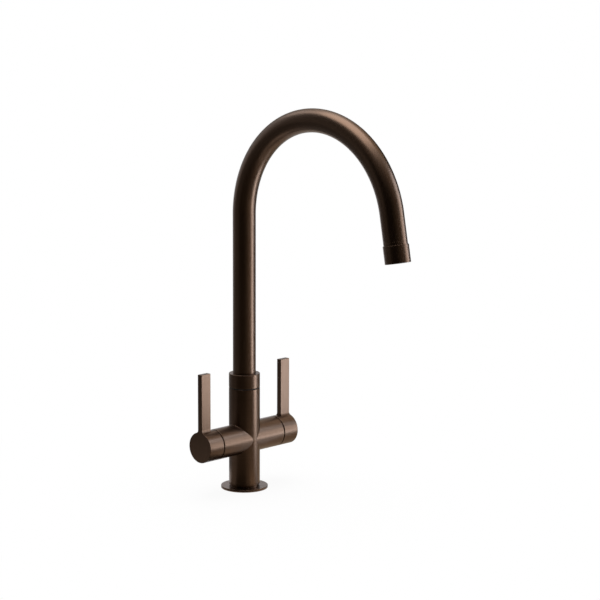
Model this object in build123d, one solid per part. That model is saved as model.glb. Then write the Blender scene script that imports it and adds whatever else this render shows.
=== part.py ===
from build123d import *
import os
from math import cos, hypot, pi, radians, sin

# Two handle monobloc kitchen faucet, in millimetres.
# The origin is on the sink deck, on the axis of the upright barrel. +Z is up, the spout reaches out
# towards -Y, and the two valve arms lie along X: hot at -X and cold at +X, as seen by the user at -Y.
# A piece of a valve arm is drawn once, for the cold side, and mirrored for the hot side.

# Base
flange_diameter = 50.0
flange_thickness = 2.5
flange_edge_chamfer = 0.6
flange_play = 0.1
deck_seal_margin = 2.4
deck_seal_width = 4.2
deck_seal_thickness = 1.2
shadow_gap_height = 1.8
shadow_gap_depth = 0.9

# Body: upright barrel crossed by the valve arms
body_diameter = 33.0
body_height = 108.8
spigot_diameter = 29.0
spigot_wall = 1.5
spigot_lift = 0.3
edge_chamfer = 0.3
arm_diameter = 32.6
arm_axis_height = 54.0
arm_reach = 44.1
socket_wall = 3.5
socket_depth = 32.8

# Inlet block in the underside, with its three threaded holes at their core diameters
block_height = 14.0
block_fit = 0.05
port_core_diameter = 8.92
port_wall = 0.9
port_angle = 32.0
stud_core_diameter = 6.65
stud_wall = 2.3
stud_depth = 12.0
riser_diameter = 7.0
web_between_inlets = 5.0
outlet_drill_diameter = 5.0
outlet_drill_start = 8.0
outlet_drill_past_seat = 4.9

# Quarter-turn valve: distances along an arm are counted from the valve's seat
valve_length = 26.0
valve_thread_diameter = 20.6
valve_thread_length = 10.6
valve_waterway = 1.1
valve_wall = 0.9
valve_fit = 0.05
hex_across_flats = 22.0
hex_height = 4.2
hex_pocket_depth = 6.0
hex_pocket_play = 0.1
valve_neck_diameter = 16.0
valve_neck_length = 8.2
seat_bore_diameter = 10.8
seat_seal_height = 2.8
seat_seal_stand_off = 0.8
disc_thickness = 2.8
disc_gap = 0.03
disc_play = 0.1
port_hub_radius = 2.0
port_rim = 1.8
port_sweep = 80.0
window_width = 8.0
window_length = 5.0
carrier_height = 6.0
stop_height = 2.0
stop_core_step = 0.5
stop_play = 0.1
lug_sweep = 120.0
quarter_turn = 90.0
stop_slack = 0.5
drive_width = 2.4
drive_depth = 1.4
drive_play = 0.1
stem_diameter = 10.0
running_clearance = 0.05
ring_section = 1.8
ring_groove_depth = 1.4
ring_pitch = 7.0
stem_end_gap = 1.6
circlip_thickness = 0.8
circlip_width = 2.0
circlip_opening = 5.0
circlip_groove_depth = 0.7
spline_teeth = 20
spline_tip_diameter = 8.0
spline_tooth_depth = 0.5
spline_end_gap = 1.5
housing_ring_groove_length = 2.0
housing_ring_groove_depth = 1.2

# Lever handle
hub_gap = 1.2
hub_length = 19.7
hub_wall = 3.8
hub_floor_gap = 0.9
hub_edge_chamfer = 0.35
lever_width = 13.0
lever_thickness = 5.8
lever_rise = 77.8
lever_root_fillet = 3.5
lever_edge_chamfer = 0.35
adapter_diameter = 14.0
adapter_length = 8.0
adapter_fit = 0.05
glide_ring_play = 0.3
glide_ring_setback = 1.3
glide_ring_wall = 1.0
screw_diameter = 5.0
lever_screw_length = 6.0
screw_fit = 0.05
screw_hex = 2.5
screw_hex_depth = 2.2
screw_point_diameter = 3.6
lever_screw_point = 1.2

# Spout: column, round bend and outlet
tube_diameter = 24.3
tube_wall = 1.2
bend_start_height = 294.7
bend_radius = 104.3
bend_angle = 169.6
outlet_length = 48.1
swivel_gap = 1.2
washer_play = 0.1
washer_setback = 0.9
collar_height = 14.7
collar_lip = 3.6
collar_chamfer = 0.4
tail_head_wall = 1.8
tail_ledge = 2.0
tail_wall = 1.7
tail_floor_gap = 3.0
tail_fit = 0.05
tail_ring_section = 2.6
tail_ring_depth = 1.75
tail_ring_margin = 4.5
retaining_groove_depth = 1.65
retaining_groove_width = 4.4
retaining_screw_gap = 0.3
retaining_screw_drop = 16.8
retaining_screw_recess = 0.5
retaining_shank_gap = 0.2

# Outlet nozzle and the aerator inside it
nozzle_step = 0.85
nozzle_length = 18.0
nozzle_chamfer = 0.5
nozzle_lip_height = 1.2
nozzle_lip_width = 1.1
nozzle_overlap = 7.0
nozzle_wall = 1.4
nozzle_fit = 0.05
aerator_washer_height = 1.6
aerator_washer_width = 2.7
aerator_play = 0.1
aerator_skirt_wall = 1.2
honeycomb_thickness = 2.4
cell_across_flats = 2.2
cell_wall = 0.5
honeycomb_margin = 1.0
regulator_thickness = 1.6
regulator_holes = 12
regulator_hole_diameter = 2.0
regulator_hole_circle = 13.0

UP = (Align.CENTER, Align.CENTER, Align.MIN)

# Places that several pieces share
flange_radius = flange_diameter / 2
deck_seal_outer = flange_radius - deck_seal_margin
body_radius = body_diameter / 2
arm_radius = arm_diameter / 2
spigot_radius = spigot_diameter / 2
spigot_bore_radius = spigot_radius - spigot_wall
block_radius = spigot_bore_radius - block_fit
port_circle = block_radius - port_wall - port_core_diameter / 2
stud_offset = block_radius - stud_wall - stud_core_diameter / 2
barrel_foot = flange_thickness + shadow_gap_height
socket_radius = body_radius - socket_wall
socket_floor = body_height - socket_depth
pocket_floor = arm_reach - hex_pocket_depth
seat = pocket_floor - valve_length
collar_foot = body_height + swivel_gap
collar_top = collar_foot + collar_height

# Radii and heights inside a valve, with heights counted from its seat
hex_radius = hex_across_flats / 2 / cos(pi / 6)
pocket_radius = hex_radius + hex_pocket_play
valve_bore_radius = valve_thread_diameter / 2
thread_radius = valve_bore_radius - valve_fit
valve_front_radius = valve_bore_radius - valve_waterway
chamber_radius = valve_front_radius - valve_wall
disc_radius = chamber_radius - disc_play
stem_radius = stem_diameter / 2
neck_bore_radius = stem_radius + running_clearance
moving_disc_foot = seat_seal_height + disc_thickness + disc_gap
moving_disc_top = moving_disc_foot + disc_thickness
carrier_foot = moving_disc_top + disc_gap
carrier_top = carrier_foot + carrier_height
chamber_top = carrier_top + disc_play
housing_ring_foot = valve_length - 2 * housing_ring_groove_length
hex_top = valve_length + hex_height
neck_top = hex_top + valve_neck_length
clip_foot = neck_top + disc_play
stem_top = neck_top + stem_end_gap

# Lever handle, along its arm
hub_face = arm_reach + hub_gap
hub_end = hub_face + hub_length
blade_foot = hub_end - lever_width
cavity_floor = seat + stem_top + hub_floor_gap
adapter_end = cavity_floor + adapter_length
adapter_radius = adapter_diameter / 2
lever_screw_reach = cavity_floor + adapter_length / 2
spline_tip_radius = spline_tip_diameter / 2
screw_radius = screw_diameter / 2

# Spout tail, tube and nozzle
stem_foot = socket_floor + tail_floor_gap
tail_radius = socket_radius - tail_fit
tail_groove_radius = tail_radius - tail_ring_depth
tail_bore_radius = tail_groove_radius - tail_wall
tail_head_top = collar_top - collar_lip
retaining_screw_height = body_height - retaining_screw_drop
retaining_point = tail_radius - retaining_groove_depth + retaining_screw_gap
tube_radius = tube_diameter / 2
tube_seat_radius = tube_radius + tail_fit
tube_foot = collar_foot + tail_ledge
tail_head_radius = tube_seat_radius + tail_head_wall
nozzle_radius = tube_radius + nozzle_step
nozzle_bore_radius = nozzle_radius - nozzle_wall
nozzle_lip_radius = nozzle_bore_radius - nozzle_lip_width
tube_mouth = nozzle_length - nozzle_overlap
aerator_radius = nozzle_bore_radius - aerator_play
aerator_top = tube_mouth - aerator_washer_height

# Frames of the cold arm, from the barrel's axis and from the valve's seat: local Z runs out along
# the arm, local X points back and local Y up
arm_frame = Plane(origin=(0, 0, arm_axis_height), x_dir=(0, 1, 0), z_dir=(1, 0, 0))
valve_frame = arm_frame * Pos(0, 0, seat)


def turned(*outline):
    """A piece turned on a lathe: a closed outline of (radius, height) points, revolved about Z."""
    profile = Plane.XZ * Polyline(*outline, close=True)
    return revolve(make_face(profile), Axis.Z)


def rod(radius, start, end):
    """A plain cylinder on the Z axis between two heights."""
    return Pos(0, 0, start) * Cylinder(radius, end - start, align=UP)


def ring(inner_radius, outer_radius, start, end):
    """A plain ring on the Z axis between two heights."""
    return extrude(Pos(0, 0, start) * (Circle(outer_radius) - Circle(inner_radius)), end - start)


def soft_ring(inner_radius, outer_radius, start, end):
    """A round sealing ring, drawn pressed in its groove: its outer corners are cut back."""
    cut = (outer_radius - inner_radius) / 4
    return turned(
        (inner_radius, start),
        (outer_radius - cut, start),
        (outer_radius, start + cut),
        (outer_radius, end - cut),
        (outer_radius - cut, end),
        (inner_radius, end),
    )


def drilled(radius, start, end):
    """A drilled passage between two points."""
    run = Vector(*end) - Vector(*start)
    return Plane(origin=start, z_dir=run) * Cylinder(radius, run.length, align=UP)


def sector(inner_radius, outer_radius, start_angle, sweep_angle):
    """A flat ring sector of under half a turn, from start_angle and turning anticlockwise."""
    reach = 2 * outer_radius
    corners = [(0, 0)]
    for step in range(3):
        angle = radians(start_angle + sweep_angle * step / 2)
        corners.append((reach * cos(angle), reach * sin(angle)))
    wedge = make_face(Polyline(*corners, close=True))
    return (Circle(outer_radius) - Circle(inner_radius)) & wedge


def hexagon(across_flats):
    """A hexagon with two corners on X."""
    return RegularPolygon(across_flats / 2, 6, major_radius=False)


def cold(piece):
    """A piece drawn from the valve's seat outwards, put in the cold arm."""
    return valve_frame * piece


def hot(piece):
    """The mirror image of a cold piece, in the hot arm."""
    return mirror(piece, about=Plane.YZ)


def both_arms(piece):
    """The same cut on the cold and on the hot side."""
    return piece + hot(piece)


# Where the cold port and its riser stand
port_place = Pos(port_circle * cos(radians(port_angle)), port_circle * sin(radians(port_angle)), 0)


# ---- Base -------------------------------------------------------------------------------------


def make_base_flange():
    """Thin round cover flange, held between the body's shoulder and the deck."""
    disc = turned(
        (spigot_radius + flange_play, 0),
        (flange_radius, 0),
        (flange_radius, flange_thickness - flange_edge_chamfer),
        (flange_radius - flange_edge_chamfer, flange_thickness),
        (spigot_radius + flange_play, flange_thickness),
    )
    return disc - ring(deck_seal_outer - deck_seal_width, deck_seal_outer, 0, deck_seal_thickness)


def make_base_seal():
    """Flat rubber ring, pressed flush with the flange's underside."""
    inner = deck_seal_outer - deck_seal_width + flange_play
    return ring(inner, deck_seal_outer - flange_play, 0, deck_seal_thickness)


def make_inlet_block():
    """Brass block that closes the barrel's foot, with two hose ports and the fixing stud's hole."""
    block = rod(block_radius, 0, block_height)
    block -= both_arms(port_place * rod(port_core_diameter / 2, 0, block_height))
    return block - Pos(0, -stud_offset, 0) * rod(stud_core_diameter / 2, 0, stud_depth)


# ---- Body -------------------------------------------------------------------------------------


def barrel_blank():
    """The upright barrel as turned: spigot, shadow gap and plain round column."""
    neck_radius = body_radius - shadow_gap_depth
    return turned(
        (0, spigot_lift),
        (spigot_radius, spigot_lift),
        (spigot_radius, flange_thickness),
        (neck_radius, flange_thickness),
        (neck_radius, barrel_foot),
        (body_radius - edge_chamfer, barrel_foot),
        (body_radius, barrel_foot + edge_chamfer),
        (body_radius, body_height - edge_chamfer),
        (body_radius - edge_chamfer, body_height),
        (0, body_height),
    )


def arm_blank():
    """Both valve arms as one round bar across the barrel."""
    half = [(arm_radius, arm_reach - edge_chamfer), (arm_radius - edge_chamfer, arm_reach), (0, arm_reach)]
    mirrored_half = [(radius, -reach) for radius, reach in reversed(half)]
    return arm_frame * turned(*mirrored_half, *half)


def arm_bores():
    """What is cut from the cold arm: hex pocket, valve bore and the water's way in behind the seat."""
    pocket = rod(pocket_radius, pocket_floor, arm_reach)
    bore = rod(valve_bore_radius, seat, pocket_floor)
    entry = rod(seat_bore_diameter / 2, web_between_inlets / 2, seat)
    return arm_frame * (pocket + bore + entry)


def outlet_passage():
    """The mixed water's way up from the cold valve's side windows into the spout's socket."""
    start = (outlet_drill_start, 0, socket_floor)
    end = (seat + outlet_drill_past_seat, 0, arm_axis_height + valve_front_radius)
    mouth = Pos(*start) * Sphere(outlet_drill_diameter / 2)
    return mouth + drilled(outlet_drill_diameter / 2, start, end)


def make_tap_body():
    """Barrel and arms in one piece, with the bores of the valves and the spout and the water's ways."""
    body = barrel_blank() + arm_blank()
    body -= rod(socket_radius, socket_floor, body_height)
    body -= rod(spigot_bore_radius, 0, block_height)
    body -= both_arms(arm_bores())
    body -= both_arms(port_place * rod(riser_diameter / 2, block_height, arm_axis_height))
    body -= both_arms(outlet_passage())
    hole_start = (0, tail_radius - socket_wall, retaining_screw_height)
    hole_end = (0, body_radius + socket_wall, retaining_screw_height)
    return body - drilled(screw_radius, hole_start, hole_end)


# ---- Valves -----------------------------------------------------------------------------------


def make_valve_housing():
    """Brass cartridge housing: disc chamber, side windows, thread, hexagon and long neck."""
    thread_foot = valve_length - valve_thread_length
    shell = turned(
        (0, seat_seal_stand_off),
        (valve_front_radius, seat_seal_stand_off),
        (valve_front_radius, thread_foot),
        (thread_radius, thread_foot),
        (thread_radius, valve_length),
        (valve_neck_diameter / 2, valve_length),
        (valve_neck_diameter / 2, neck_top),
        (0, neck_top),
    )
    shell += Pos(0, 0, valve_length) * extrude(hexagon(hex_across_flats), hex_height)
    shell -= rod(chamber_radius, 0, chamber_top)
    shell -= rod(neck_bore_radius, chamber_top, neck_top)
    window_centre = moving_disc_foot + window_length / 2
    shell -= Pos(0, 0, window_centre) * Box(3 * valve_front_radius, window_width, window_length)
    groove_radius = thread_radius - housing_ring_groove_depth
    groove_top = housing_ring_foot + housing_ring_groove_length
    shell -= ring(groove_radius, 2 * thread_radius, housing_ring_foot, groove_top)
    stop_start = lug_sweep + quarter_turn + stop_slack / 2
    stop_sweep = 360 - lug_sweep - quarter_turn - stop_slack
    core_radius = stem_radius + stop_core_step
    stop = sector(core_radius + stop_play, chamber_radius + valve_wall / 2, stop_start, stop_sweep)
    return shell + Pos(0, 0, chamber_top - stop_height) * extrude(stop, stop_height)


def make_valve_housing_seal():
    """Rubber ring in the thread's undercut, against the arm's bore."""
    foot = housing_ring_foot + valve_fit
    top = housing_ring_foot + housing_ring_groove_length - valve_fit
    return soft_ring(thread_radius - housing_ring_groove_depth, valve_bore_radius, foot, top)


def make_seat_seal():
    """Silicone ring between the body's seat and the fixed ceramic disc."""
    return ring(seat_bore_diameter / 2, chamber_radius - valve_fit, 0, seat_seal_height)


def disc_with_ports(start_angle):
    """A ceramic disc with its two ports, as a flat shape."""
    disc = Circle(disc_radius)
    for turn in (0, 180):
        disc -= sector(port_hub_radius, disc_radius - port_rim, start_angle + turn, port_sweep)
    return disc


def drive_keys(play):
    """Where the spindle drives the moving disc: two square keys at its rim, across the closed ports."""
    side = drive_width + 2 * play
    offset = disc_radius - drive_width / 2
    squares = Pos(offset, 0) * Rectangle(side, side) + Pos(-offset, 0) * Rectangle(side, side)
    return squares & Circle(disc_radius + play)


def make_fixed_disc():
    """Lower ceramic disc, held still in the housing."""
    ports = disc_with_ports(-port_sweep / 2)
    return Pos(0, 0, seat_seal_height) * extrude(ports, disc_thickness)


def make_moving_disc():
    """Upper ceramic disc: its ports stand a quarter turn from the lower disc's while the tap is shut."""
    ports = disc_with_ports(quarter_turn - port_sweep / 2)
    disc = Pos(0, 0, moving_disc_foot) * extrude(ports, disc_thickness)
    slot_depth = drive_depth + drive_play
    return disc - Pos(0, 0, moving_disc_top - slot_depth) * extrude(drive_keys(drive_play), slot_depth)


def splined_shape(tip_radius):
    """Outline of the V-toothed drive, with as many tips as the spline has teeth."""
    points = []
    for step in range(2 * spline_teeth):
        radius = tip_radius if step % 2 == 0 else tip_radius - spline_tooth_depth
        angle = pi * step / spline_teeth
        points.append((radius * cos(angle), radius * sin(angle)))
    return make_face(Polyline(*points, close=True))


def stem_ring_feet():
    """Where the two sealing rings start on the stem, from the seat."""
    first = carrier_top + ring_pitch / 2
    return [first, first + ring_pitch]


def make_spindle():
    """Brass spindle: drive keys, stop lug, sealed stem, circlip groove and splined end."""
    lug_foot = carrier_top - stop_height
    spindle = rod(disc_radius, carrier_foot, lug_foot)
    spindle += rod(stem_radius + stop_core_step, lug_foot, carrier_top)
    lug = sector(stem_radius, disc_radius, 0, lug_sweep)
    spindle += Pos(0, 0, lug_foot) * extrude(lug, stop_height)
    key_foot = moving_disc_top - drive_depth
    spindle += Pos(0, 0, key_foot) * extrude(drive_keys(0), carrier_foot - key_foot)
    spindle += rod(stem_radius, carrier_top, stem_top)
    spline_length = adapter_end - spline_end_gap - seat - stem_top
    spindle += Pos(0, 0, stem_top) * extrude(splined_shape(spline_tip_radius), spline_length)
    for foot in stem_ring_feet():
        spindle -= ring(stem_radius - ring_groove_depth, 2 * stem_radius, foot, foot + ring_section)
    clip_groove_radius = stem_radius - circlip_groove_depth
    return spindle - ring(clip_groove_radius, 2 * stem_radius, clip_foot, clip_foot + circlip_thickness)


def make_spindle_seals():
    """Two rubber rings on the stem, in one group."""
    inner = stem_radius - ring_groove_depth
    outer = stem_radius + running_clearance / 2
    rings = [
        soft_ring(inner, outer, foot + valve_fit, foot + ring_section - valve_fit)
        for foot in stem_ring_feet()
    ]
    return Compound(children=rings)


def make_spindle_circlip():
    """Open spring clip that keeps the spindle in its housing."""
    inner = stem_radius - circlip_groove_depth
    outer = inner + circlip_width
    clip = Circle(outer) - Circle(inner) - Pos(0, -outer) * Rectangle(circlip_opening, 2 * outer)
    return Pos(0, 0, clip_foot) * extrude(clip, circlip_thickness)


# ---- Lever handles ----------------------------------------------------------------------------


def lever_outline():
    """The handle seen from its end: round hub, upright blade and the fillets between them."""
    blade_root = arm_radius / 2
    blade = Pos(0, (blade_root + lever_rise) / 2) * Rectangle(lever_thickness, lever_rise - blade_root)
    outline = Circle(arm_radius) + blade
    roots = outline.vertices().filter_by(lambda corner: 0 < corner.Y < arm_radius)
    outline = fillet(roots, lever_root_fillet)
    return chamfer(outline.vertices().group_by(Axis.Y)[-1], lever_edge_chamfer)


def make_lever_handle():
    """Solid brass handle: a flat lever rises from the outer end of a round hub."""
    handle = Pos(0, 0, blade_foot) * extrude(lever_outline(), lever_width)
    handle = chamfer(handle.faces().sort_by(Axis.Z)[-1].edges(), hub_edge_chamfer)
    inner_edges = handle.faces().sort_by(Axis.Z)[0].edges()
    handle = chamfer(inner_edges.filter_by(lambda edge: edge.center().Y > arm_radius), lever_edge_chamfer)
    handle += turned(
        (0, hub_face),
        (arm_radius - edge_chamfer, hub_face),
        (arm_radius, hub_face + edge_chamfer),
        (arm_radius, blade_foot),
        (0, blade_foot),
    )
    handle -= rod(arm_radius - hub_wall, hub_face, cavity_floor)
    handle -= rod(adapter_radius, cavity_floor, adapter_end)
    screw_hole = drilled(screw_radius, (0, 0, lever_screw_reach), (0, -2 * arm_radius, lever_screw_reach))
    return arm_frame * (handle - screw_hole)


def make_spline_adapter():
    """Brass sleeve with the female spline, pressed into the hub."""
    sleeve = Pos(0, 0, cavity_floor) * extrude(
        Circle(adapter_radius - adapter_fit) - splined_shape(spline_tip_radius + running_clearance),
        adapter_length,
    )
    return arm_frame * sleeve


def grub_screw(length, point_length):
    """A headless screw along Z: socket hexagon at its foot and a plain point at its top."""
    shank_top = length - point_length
    screw = rod(screw_radius - screw_fit, 0, shank_top)
    screw += rod(screw_point_diameter / 2, shank_top, length)
    return screw - extrude(hexagon(screw_hex), screw_hex_depth)


def make_lever_screw():
    """Grub screw under the hub, which clamps the adapter."""
    foot = adapter_radius + lever_screw_length
    place = Plane(origin=(lever_screw_reach, 0, arm_axis_height - foot), z_dir=(0, 0, 1))
    return place * grub_screw(lever_screw_length, lever_screw_point)


def make_glide_ring():
    """Nylon ring between arm and hub, seated in the hex pocket by its lip."""
    lip_foot = pocket_floor + hex_height + hex_pocket_play
    lip_radius = pocket_radius - valve_fit
    flange_top = hub_face - glide_ring_play
    return arm_frame * turned(
        (lip_radius - glide_ring_wall, lip_foot),
        (lip_radius, lip_foot),
        (lip_radius, arm_reach),
        (arm_radius - glide_ring_setback, arm_reach),
        (arm_radius - glide_ring_setback, flange_top),
        (lip_radius - glide_ring_wall, flange_top),
    )


# ---- Spout ------------------------------------------------------------------------------------


def spout_path(end_length):
    """Centreline of the spout: straight column, round bend, and end_length of straight outlet."""
    bend_centre = (0, -bend_radius, bend_start_height)
    column = Line((0, 0, tube_foot), (0, 0, bend_start_height))
    bend_plane = Plane(origin=bend_centre, x_dir=(0, 1, 0), z_dir=(1, 0, 0))
    bend = bend_plane * CenterArc((0, 0), bend_radius, 0, bend_angle)
    end = bend @ 1
    outlet = Line(end, end + (bend % 1) * end_length)
    return Wire([column, bend, outlet])


def outlet_frame():
    """Frame at the nozzle's mouth, with Z pointing back up the nozzle."""
    path = spout_path(outlet_length)
    return Plane(origin=path @ 1, x_dir=(1, 0, 0), z_dir=-(path % 1))


def make_spout_tube():
    """Bent brass tube, from its ledge in the tail to inside the nozzle."""
    path = spout_path(outlet_length - tube_mouth)
    section = Circle(tube_radius) - Circle(tube_radius - tube_wall)
    return sweep(Pos(0, 0, tube_foot) * section, path)


def tail_ring_feet():
    """Heights of the tail's two sealing rings, one near each end of the stem."""
    return [stem_foot + tail_ring_margin, body_height - tail_ring_margin - tail_ring_section]


def make_spout_tail():
    """Turned brass tail that carries the tube and turns in the body's socket."""
    tail = turned(
        (tail_bore_radius, stem_foot),
        (tail_radius - edge_chamfer, stem_foot),
        (tail_radius, stem_foot + edge_chamfer),
        (tail_radius, collar_foot),
        (tail_head_radius, collar_foot),
        (tail_head_radius, tail_head_top),
        (tube_seat_radius, tail_head_top),
        (tube_seat_radius, tube_foot),
        (tail_bore_radius, tube_foot),
    )
    for foot in tail_ring_feet():
        tail -= ring(tail_groove_radius, 2 * tail_radius, foot, foot + tail_ring_section)
    groove_foot = retaining_screw_height - retaining_groove_width / 2
    groove_top = retaining_screw_height + retaining_groove_width / 2
    return tail - ring(tail_radius - retaining_groove_depth, 2 * tail_radius, groove_foot, groove_top)


def make_spout_seals():
    """The tail's two rubber rings, in one group."""
    outer = tail_radius + tail_fit / 2
    rings = [
        soft_ring(tail_groove_radius, outer, foot + tail_fit, foot + tail_ring_section - tail_fit)
        for foot in tail_ring_feet()
    ]
    return Compound(children=rings)


def make_spout_collar():
    """Cover ring over the tail's head, flush with the barrel."""
    bore_radius = tail_head_radius + tail_fit
    return turned(
        (bore_radius, collar_foot),
        (body_radius - edge_chamfer, collar_foot),
        (body_radius, collar_foot + edge_chamfer),
        (body_radius, collar_top - collar_chamfer),
        (body_radius - collar_chamfer, collar_top),
        (tube_seat_radius, collar_top),
        (tube_seat_radius, tail_head_top),
        (bore_radius, tail_head_top),
    )


def make_swivel_washer():
    """Low-friction washer in the groove between barrel and collar."""
    return ring(socket_radius, body_radius - washer_setback, body_height, collar_foot - washer_play)


def make_retaining_screw():
    """Grub screw in the back of the barrel, whose point runs in the tail's groove."""
    length = body_radius - retaining_screw_recess - retaining_point
    point_length = socket_radius + retaining_shank_gap - retaining_point
    place = Plane(origin=(0, retaining_point + length, retaining_screw_height), z_dir=(0, -1, 0))
    return place * grub_screw(length, point_length)


# ---- Nozzle and aerator -----------------------------------------------------------------------


def make_aerator_housing():
    """Nozzle shell: it sleeves over the tube's end and holds the aerator behind an inner lip."""
    shell = turned(
        (nozzle_lip_radius, 0),
        (nozzle_radius - nozzle_chamfer, 0),
        (nozzle_radius, nozzle_chamfer),
        (nozzle_radius, nozzle_length - edge_chamfer),
        (nozzle_radius - edge_chamfer, nozzle_length),
        (tube_radius + nozzle_fit, nozzle_length),
        (tube_radius + nozzle_fit, tube_mouth),
        (nozzle_bore_radius, tube_mouth),
        (nozzle_bore_radius, nozzle_lip_height),
        (nozzle_lip_radius, nozzle_lip_height),
    )
    return outlet_frame() * shell


def make_aerator_washer():
    """Rubber washer between the tube's end and the aerator."""
    inner = aerator_radius - aerator_washer_width
    return outlet_frame() * ring(inner, aerator_radius, aerator_top, tube_mouth)


def cell_centres():
    """Centres of the honeycomb's cells: as many as fit inside the nozzle's lip."""
    pitch = cell_across_flats + cell_wall
    cell_reach = cell_across_flats / 2 / cos(pi / 6)
    rings = int(nozzle_lip_radius / pitch) + 1
    centres = []
    for row in range(-rings, rings + 1):
        for column in range(-2 * rings, 2 * rings + 1):
            x = pitch * (column + row / 2)
            y = pitch * row * sin(pi / 3)
            if hypot(x, y) + cell_reach < nozzle_lip_radius - honeycomb_margin:
                centres.append((x, y))
    return centres


def make_aerator_insert():
    """Moulded insert: a skirt with the honeycomb that straightens the stream."""
    skirt_radius = aerator_radius - aerator_skirt_wall
    body = rod(aerator_radius, nozzle_lip_height, aerator_top)
    body -= rod(skirt_radius, nozzle_lip_height + honeycomb_thickness, aerator_top)
    cell = Rot(0, 0, 30) * hexagon(cell_across_flats)
    cells = Sketch() + [Pos(x, y) * cell for x, y in cell_centres()]
    body -= Pos(0, 0, nozzle_lip_height) * extrude(cells, honeycomb_thickness)
    return outlet_frame() * body


def make_aerator_regulator():
    """Flow disc inside the insert's skirt, with one ring of holes."""
    disc = Circle(aerator_radius - aerator_skirt_wall - nozzle_fit)
    hole = Circle(regulator_hole_diameter / 2)
    disc -= PolarLocations(regulator_hole_circle / 2, regulator_holes) * hole
    return outlet_frame() * Pos(0, 0, aerator_top - regulator_thickness) * extrude(disc, regulator_thickness)


# ---- All pieces -------------------------------------------------------------------------------

pieces = {
    "base_flange": make_base_flange(),
    "base_seal": make_base_seal(),
    "inlet_block": make_inlet_block(),
    "tap_body": make_tap_body(),
    "swivel_washer": make_swivel_washer(),
    "spout_retaining_screw": make_retaining_screw(),
    "spout_tail": make_spout_tail(),
    "spout_seals": make_spout_seals(),
    "spout_collar": make_spout_collar(),
    "spout_tube": make_spout_tube(),
    "aerator_housing": make_aerator_housing(),
    "aerator_washer": make_aerator_washer(),
    "aerator_insert": make_aerator_insert(),
    "aerator_regulator": make_aerator_regulator(),
}

arm_pieces = {
    "valve_housing": cold(make_valve_housing()),
    "valve_housing_seal": cold(make_valve_housing_seal()),
    "seat_seal": cold(make_seat_seal()),
    "fixed_disc": cold(make_fixed_disc()),
    "moving_disc": cold(make_moving_disc()),
    "spindle": cold(make_spindle()),
    "spindle_seals": cold(make_spindle_seals()),
    "spindle_circlip": cold(make_spindle_circlip()),
    "glide_ring": make_glide_ring(),
    "spline_adapter": make_spline_adapter(),
    "lever_handle": make_lever_handle(),
    "lever_screw": make_lever_screw(),
}
for name, piece in arm_pieces.items():
    pieces["cold_" + name] = piece
    pieces["hot_" + name] = hot(piece)

os.makedirs("parts", exist_ok=True)
for name, piece in pieces.items():
    export_step(piece, f"parts/{name}.step")
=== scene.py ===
from math import atan2, cos, hypot, pi, radians, sin, sqrt, tan

import bmesh
import bpy
from mathutils import Matrix, Vector


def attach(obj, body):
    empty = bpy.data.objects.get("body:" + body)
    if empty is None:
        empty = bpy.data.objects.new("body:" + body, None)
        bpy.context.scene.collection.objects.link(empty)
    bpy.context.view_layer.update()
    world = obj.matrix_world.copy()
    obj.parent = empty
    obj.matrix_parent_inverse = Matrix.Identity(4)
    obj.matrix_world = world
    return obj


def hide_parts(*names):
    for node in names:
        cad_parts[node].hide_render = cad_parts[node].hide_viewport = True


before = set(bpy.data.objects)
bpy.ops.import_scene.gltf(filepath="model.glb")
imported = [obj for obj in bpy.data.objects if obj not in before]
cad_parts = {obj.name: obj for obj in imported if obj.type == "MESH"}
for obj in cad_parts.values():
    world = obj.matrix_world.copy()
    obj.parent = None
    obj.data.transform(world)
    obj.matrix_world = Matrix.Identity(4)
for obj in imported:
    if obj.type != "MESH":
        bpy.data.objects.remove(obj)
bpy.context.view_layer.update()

# ---- Camera --------------------------------------------------------------------------------------
# A long lens at the user's left, above the spout's top, looks down on the faucet a little. It sees
# the end of the hot lever, the front of the cold one, and the bend of the spout from its side.

MM = 0.001                            # a millimetre, in metres
scene = bpy.context.scene
photo_width = 600                     # pixels
sensor_width = 36.0
focal_length = 2123.1                 # in the photograph's pixels
camera_azimuth = radians(-44.298)
camera_distance, camera_height = 2206.5, 587.9
camera_heading = camera_azimuth + radians(-1.525)
camera_pitch, camera_roll = radians(9.893), radians(0.215)


def towards(azimuth, distance, height):
    """A point that far from the barrel's axis. Azimuth 0 is the user's side, -Y, and a quarter turn +X."""
    return Vector((sin(azimuth) * distance, -cos(azimuth) * distance, height))


forward = towards(camera_heading, -cos(camera_pitch), -sin(camera_pitch))
right = Vector((cos(camera_heading), sin(camera_heading), 0))
up = right.cross(forward)
right, up = (
    right * cos(camera_roll) + up * sin(camera_roll),
    up * cos(camera_roll) - right * sin(camera_roll),
)
camera = bpy.data.objects.new("camera", bpy.data.cameras.new("camera"))
scene.collection.objects.link(camera)
camera.data.sensor_width = sensor_width
camera.data.lens = focal_length * sensor_width / photo_width
camera.data.clip_end = 100
camera_place = towards(camera_azimuth, camera_distance, camera_height) * MM
turn = Matrix((right, up, -forward)).transposed().to_4x4()
camera.matrix_world = Matrix.Translation(camera_place) @ turn
scene.camera = camera

# ---- Studio --------------------------------------------------------------------------------------
# A white table runs out into a white room, with one soft box at the front right and one overhead.
# The bronze mirrors cards that lie and stand round the faucet, dark on the user's side and bright at
# the right. Only reflections show them, and only from their fronts.

# Places and lengths are in metres, azimuths in degrees.
table_reach = 60.0
shadow_start, shadow_reach, shadow_share = 0.1, 0.35, 0.1
key_azimuth, key_distance, key_width, key_height, key_lift = 48, 2.4, 1.16, 0.9, 0.02
top_place, top_width = Vector((0.3, 0.45, 3.2)), 2.8
key_radiance, top_radiance = 1.3, 2.2
room_fill = 0.6
card_lift, card_reach = 0.0005, 2.8
sheet_steps = 96


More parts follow.
